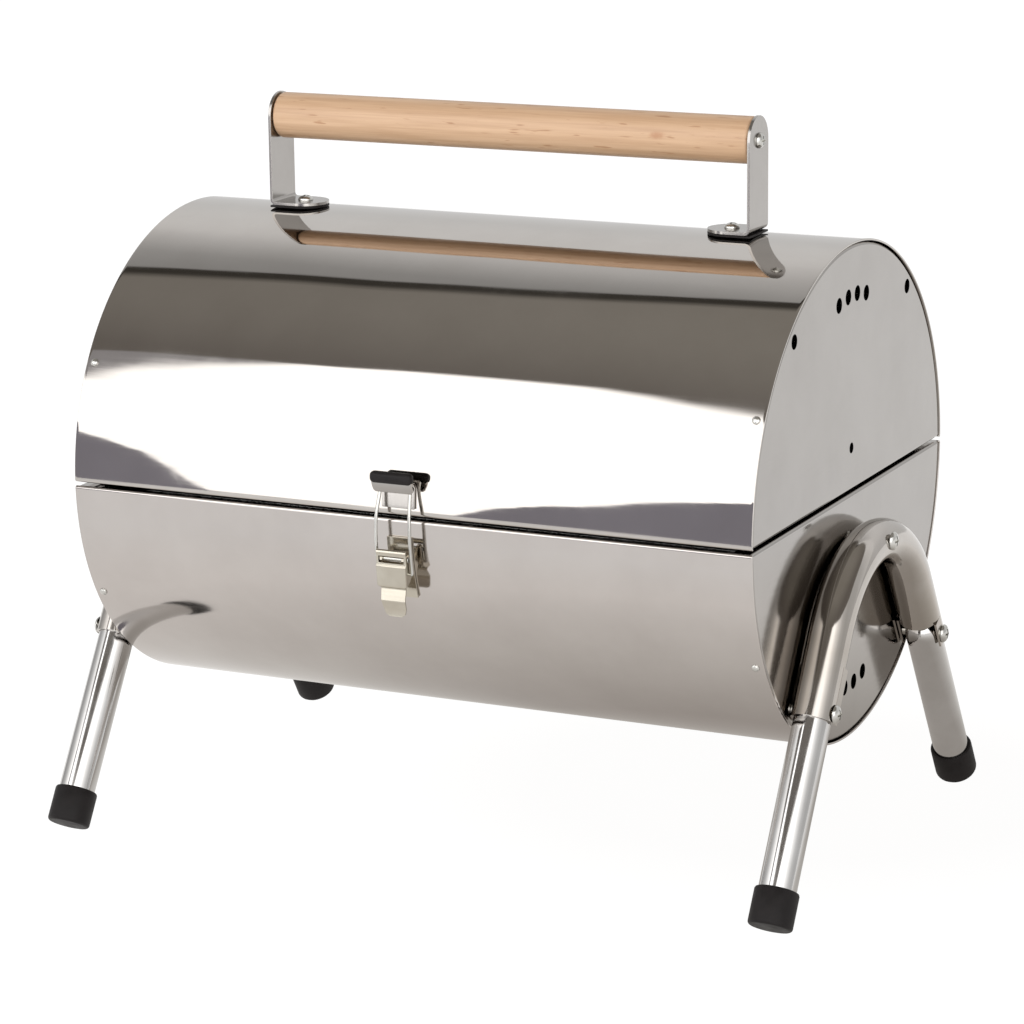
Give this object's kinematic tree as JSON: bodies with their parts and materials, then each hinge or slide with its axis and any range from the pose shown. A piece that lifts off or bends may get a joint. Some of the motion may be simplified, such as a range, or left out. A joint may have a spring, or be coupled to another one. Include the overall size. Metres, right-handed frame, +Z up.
{
  "type": "barrel charcoal grill",
  "caption": "Portable barrel charcoal grill: two hinged steel half barrels with a wooden bar handle, a toggle latch and folding tube legs on an arch at each end.",
  "frame": {"origin": "on the ground under the middle of the barrel", "axes": "+X along the barrel to the right, -Y to the front with the latch, +Z up"},
  "size_m": [0.4244, 0.295, 0.3785],
  "materials": {
    "polished_steel": "mirror-polished stainless sheet",
    "chromed_tube": "polished tube",
    "plated_steel": "nickel plated",
    "chromed_wire": "chromed grate",
    "beech": "sanded and clear lacquered",
    "black_plastic": "matt"
  },
  "bodies": {
    "firebox": {"lower_shell": "polished_steel", "lower_cooking_grate": "chromed_wire", "lower_charcoal_grate": "chromed_wire", "latch_base": "plated_steel", "latch_pivot_pin": "plated_steel", "lower_end_plate_left": "polished_steel", "lower_grate_rail_left": "polished_steel", "leg_arch_left": "chromed_tube", "arch_bolt_left": "plated_steel", "hinge_lower_leaf_left": "plated_steel", "hinge_pin_left": "plated_steel", "leg_pivot_bolt_front_left": "plated_steel", "lower_rivet_left_front": "plated_steel", "leg_pivot_bolt_rear_left": "plated_steel", "lower_rivet_left_rear": "plated_steel", "lower_end_plate_right": "polished_steel", "lower_grate_rail_right": "polished_steel", "leg_arch_right": "chromed_tube", "arch_bolt_right": "plated_steel", "hinge_lower_leaf_right": "plated_steel", "hinge_pin_right": "plated_steel", "leg_pivot_bolt_front_right": "plated_steel", "lower_rivet_right_front": "plated_steel", "leg_pivot_bolt_rear_right": "plated_steel", "lower_rivet_right_rear": "plated_steel"},
    "lid": {"lid_shell": "polished_steel", "lid_cooking_grate": "chromed_wire", "lid_charcoal_grate": "chromed_wire", "handle_bar": "beech", "latch_catch": "plated_steel", "latch_catch_cover": "black_plastic", "lid_end_plate_left": "polished_steel", "lid_grate_rail_left": "polished_steel", "hinge_upper_leaf_left": "plated_steel", "handle_bracket_left": "polished_steel", "handle_pad_left": "black_plastic", "handle_end_screw_left": "plated_steel", "handle_foot_screw_left": "plated_steel", "lid_rivet_left_front": "plated_steel", "lid_rivet_left_rear": "plated_steel", "lid_end_plate_right": "polished_steel", "lid_grate_rail_right": "polished_steel", "hinge_upper_leaf_right": "plated_steel", "handle_bracket_right": "polished_steel", "handle_pad_right": "black_plastic", "handle_end_screw_right": "plated_steel", "handle_foot_screw_right": "plated_steel", "lid_rivet_right_front": "plated_steel", "lid_rivet_right_rear": "plated_steel"},
    "latch_lever": {"latch_lever": "plated_steel"},
    "latch_bail": {"latch_bail": "plated_steel"},
    "leg_front_left": {"leg_tube_front_left": "chromed_tube", "foot_cap_front_left": "black_plastic"},
    "leg_front_right": {"leg_tube_front_right": "chromed_tube", "foot_cap_front_right": "black_plastic"},
    "leg_rear_left": {"leg_tube_rear_left": "chromed_tube", "foot_cap_rear_left": "black_plastic"},
    "leg_rear_right": {"leg_tube_rear_right": "chromed_tube", "foot_cap_rear_right": "black_plastic"}
  },
  "joints": [
    {"name": "lid_hinge", "type": "hinge", "parent": "firebox", "child": "lid", "pos_m": [0, 0.1383, 0.19], "axis": [-1, 0, 0], "range_deg": [0, 180]},
    {"name": "latch_lever_swing", "type": "hinge", "parent": "firebox", "child": "latch_lever", "pos_m": [0, -0.1415, 0.1705], "axis": [-1, 0, 0], "range_deg": [0, 120]},
    {"name": "latch_bail_swing", "type": "hinge", "parent": "latch_lever", "child": "latch_bail", "pos_m": [0, -0.1405, 0.163], "axis": [1, 0, 0], "range_deg": [0, 240]},
    {"name": "leg_front_left_fold", "type": "hinge", "parent": "firebox", "child": "leg_front_left", "pos_m": [-0.1985, -0.08, 0.098], "axis": [1, 0, 0], "range_deg": [0, 130]},
    {"name": "leg_front_right_fold", "type": "hinge", "parent": "firebox", "child": "leg_front_right", "pos_m": [0.1985, -0.08, 0.098], "axis": [1, 0, 0], "range_deg": [0, 130]},
    {"name": "leg_rear_left_fold", "type": "hinge", "parent": "firebox", "child": "leg_rear_left", "pos_m": [-0.1985, 0.08, 0.098], "axis": [-1, 0, 0], "range_deg": [0, 95]},
    {"name": "leg_rear_right_fold", "type": "hinge", "parent": "firebox", "child": "leg_rear_right", "pos_m": [0.1985, 0.08, 0.098], "axis": [-1, 0, 0], "range_deg": [0, 95]}
  ],
  "couplings": [
    {"joint": "latch_bail_swing", "follows": "latch_lever_swing", "ratio": 2}
  ]
}
